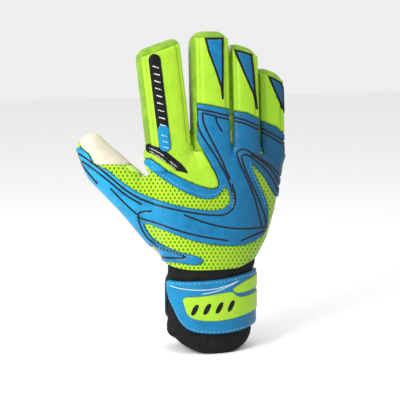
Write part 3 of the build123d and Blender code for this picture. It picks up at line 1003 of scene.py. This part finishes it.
cuff()
STRAP = [
    (-81, 64.6), (-79, 57.6), (-76, 49.6), (-64, 39.6), (-56, 30.1), (-44, 22.6), (-31, 19.6),
    (-8, 18.2), (12, 18.4), (34, 19.8), (58, 21.6), (89, 22.6), (89, 71), (60, 70.5), (30, 69),
    (5, 67), (-22, 65.8), (-50, 64.8),
]  # fmt: skip
ANCHOR = [(92.5, 22.6), (92.5, 71), (180, 69), (262, 65.5), (262, 25.5), (180, 23.5)]
LABEL = [
    (-50, 51.3), (-46, 42.5), (-42, 35), (-33, 31.7), (-13, 29.8), (10, 30.6), (45, 34), (88, 36.6),
    (88, 51.5), (60, 51), (33, 49.5), (22, 50.5), (16, 56), (-5, 54.2), (-28, 52),
]  # fmt: skip
ACCENT = [
    (14, 57.5), (24, 60.5), (35, 63.4), (60, 66.4), (88, 67.2), (88, 55.5), (60, 54.5), (35, 53),
    (20, 53),
]  # fmt: skip
LOOP = [(-66, 62.5), (-66, 25.5), (42, 23.5), (42, 61.5)]
HOOK = [(-74, 60.5), (-72, 51.5), (-56, 37.5), (-18, 27.5), (-18, 60.5)]
strap = band_sheet("strap_flap", STRAP, 2.1, 4.7, BLUE_PLAIN, "strap")
anchor = band_sheet("strap_anchor_band", ANCHOR, 0.2, 2.0, BLUE_PLAIN, "hand")
band_sheet("strap_print", LABEL, 4.5, 5.5, NEON_FOAM, "strap", 0.9)
band_sheet("strap_accent", ACCENT, 4.5, 5.5, NEON_FOAM, "strap", 0.9)
band_sheet("loop_pile", LOOP, -0.2, 0.9, BLACK_CLOTH, "hand")
band_sheet("hook_pile", HOOK, 1.4, 2.15, BLACK_CLOTH, "strap")
# Plain slanted bars stand where the label carries print.
for k, angle in enumerate((-34, -19, -4, 11)):
    z = 39 + k * 0.8
    corners = [(-4.5, -3.6), (2.5, -3.4), (8.5, 6.4), (1.5, 6.2)]
    bar_outline = [(angle + da, z + dz) for da, dz in corners]
    band_sheet(
        f"label_bar_{k}", bar_outline, 5.3, 5.9, BLACK_PRINT, "strap", 0.4, step=0.6
    )
for k, points in enumerate(
    (
        [(-72, 60.2), (-50, 58.2), (-22, 57.6), (0, 59.2), (26, 64.4)],
        [(-24, 54.2), (-8, 56), (8, 59.6), (24, 63.8)],
    )
):
    upper = [(a, z + 0.35) for a, z in points]
    lower = [(a, z - 0.35) for a, z in reversed(points)]
    band_sheet(f"strap_line_{k}", upper + lower, 4.5, 5.0, WHITE_PRINT, "strap", 0.3, step=0.5)


def strap_threads(name, points, off, body):
    pts = np.array(points, float)
    verts, faces = [], []
    steps = np.hypot(np.diff(pts[:, 0]) * MM_PER_DEGREE, np.diff(pts[:, 1]))
    place = np.concatenate([[0], np.cumsum(steps)])
    for start in np.arange(1, place[-1] - 2, 3.2):
        ends = [
            cuff_point(math.radians(np.interp(at, place, pts[:, 0])), off, np.interp(at, place, pts[:, 1]))
            for at in (start, start + 2.0)
        ]
        a, b = ends
        axis = unit(b - a)
        out = unit([a[0] / HALF_W**2, a[1] / HALF_D**2, 0])
        side = np.cross(axis, out)
        base = len(verts)
        for t, r in ((0, 0.3), (0.2, 1), (0.5, 1.15), (0.8, 1), (1, 0.3)):
            for k in range(8):
                w = 2 * math.pi * k / 8
                round_it = (side * math.cos(w) + out * math.sin(w)) * THREAD_RADIUS
                verts.append(a + (b - a) * t + round_it * r)
        faces += capsule_faces(base)
    v = np.array(verts)
    obj = build(name, v, faces, THREAD, {}, v[:, [0, 2]])
    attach(obj, body)


STRAP_THREAD_OFF = 4.75
STITCH_TOP = [
    (-76, 62.2), (-50, 62.6), (-22, 63.6), (5, 64.8), (30, 66.8), (60, 68.3), (88, 68.8),
]  # fmt: skip
STITCH_LOW = [
    (-73, 49.6), (-62, 40.6), (-53, 31.1), (-42, 24.9), (-30, 22), (-8, 20.6), (12, 20.8),
    (34, 22.1), (58, 23.9), (88, 24.9),
]  # fmt: skip
strap_threads("strap_stitch_top", STITCH_TOP, STRAP_THREAD_OFF, "strap")
strap_threads("strap_stitch_low", STITCH_LOW, STRAP_THREAD_OFF, "strap")


# ---- What stands for what ------------------------------------------------------------------
def stands(piece, *nodes):
    if piece in PIECES:
        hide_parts(*nodes)
    else:
        print("MISSING", piece, nodes)


stands("cuff", "wrist_cuff")
stands("strap_flap", "strap_flap")
stands("strap_print", "strap_label")
stands("hook_pile", "strap_hook_patch")
stands("loop_pile", "cuff_loop_patch")
stands("strap_anchor_band", "strap_anchor")
stands("mesh_hand", "backhand_mesh", "knuckle_mesh")
stands("palm_hand", "palm_latex", "knuckle_palm")
stands(
    "blue_hand", "backhand_panel", "side_panel", "index_trim", "wrist_wing", "knuckle_panel",
    "spine_roots",
)  # fmt: skip
stands("neon_hand", "shield_root", "knuckle_shield")
for finger in FINGERS:
    name = finger.name
    first = "neon" if finger is INDEX else "blue"
    stands(f"{first}_{name}_a", f"{name}_base_back", f"{name}_base_spine")
    stands(f"neon_{name}_b", f"{name}_end_back", f"{name}_end_spine")
    stands(f"palm_{name}_a", f"{name}_base_palm")
    stands(f"palm_{name}_b", f"{name}_end_palm")
    stands(f"gusset_{name}_a", f"{name}_base_gusset")
    stands(f"gusset_{name}_b", f"{name}_end_gusset")
stands("bar_badge_index_b", "index_badge")
for name in ("middle", "ring", "little"):
    stands(f"insert_{name}_{name}_b", f"{name}_tip_insert")
for part, node in (("a", "base"), ("b", "end")):
    stands(f"blue_thumb_{part}", f"thumb_{node}_back")
    stands(f"palm_thumb_{part}", f"thumb_{node}_palm")
    stands(f"mesh_thumb_{part}", f"thumb_{node}_gusset")

# ---- Floor, light and camera ------------------------------------------------------------------
mesh = bpy.data.meshes.new("floor")
mesh.from_pydata([(-3, -3, 0), (3, -3, 0), (3, 3, 0), (-3, 3, 0)], [], [(0, 1, 2, 3)])
floor = bpy.data.objects.new("floor", mesh)
bpy.context.scene.collection.objects.link(floor)
pale = bpy.data.materials.new("pale_floor")
pale.use_nodes = True
pale.node_tree.nodes["Principled BSDF"].inputs["Base Color"].default_value = (0.92, 0.92, 0.92, 1)
pale.node_tree.nodes["Principled BSDF"].inputs["Roughness"].default_value = 0.9
mesh.materials.append(pale)


def area_light(name, place, target, size, power):
    data = bpy.data.lights.new(name, "AREA")
    data.size, data.energy = size, power
    obj = bpy.data.objects.new(name, data)
    bpy.context.scene.collection.objects.link(obj)
    obj.location = place
    obj.rotation_euler = (Vector(target) - Vector(place)).to_track_quat("-Z", "Y").to_euler()


AIM = (0.0, 0.0, 0.14)
area_light("key", (-0.85, -0.60, 0.62), AIM, 0.5, 13)
area_light("top", (0.1, -0.2, 1.3), AIM, 1.0, 4)
world = bpy.data.worlds.new("studio")
bpy.context.scene.world = world
world.use_nodes = True
world.node_tree.nodes["Background"].inputs["Color"].default_value = (1, 1, 1, 1)
world.node_tree.nodes["Background"].inputs["Strength"].default_value = 0.86
bpy.context.scene.view_settings.view_transform = "Standard"

camera_data = bpy.data.cameras.new("camera")
LENS, SENSOR = 135, 36
camera_data.lens = LENS
camera = bpy.data.objects.new("camera", camera_data)
bpy.context.scene.collection.objects.link(camera)
# The picture is 356 mm wide at the glove, and its middle is 8 mm left of the glove's frame.
DISTANCE = 0.356 * LENS / SENSOR
middle = RIGHT * -0.008 + UP * 0.1304
camera.location = Vector(middle + EYE * DISTANCE)
camera.rotation_euler = Vector(-EYE).to_track_quat("-Z", "Y").to_euler()
bpy.context.scene.camera = camera
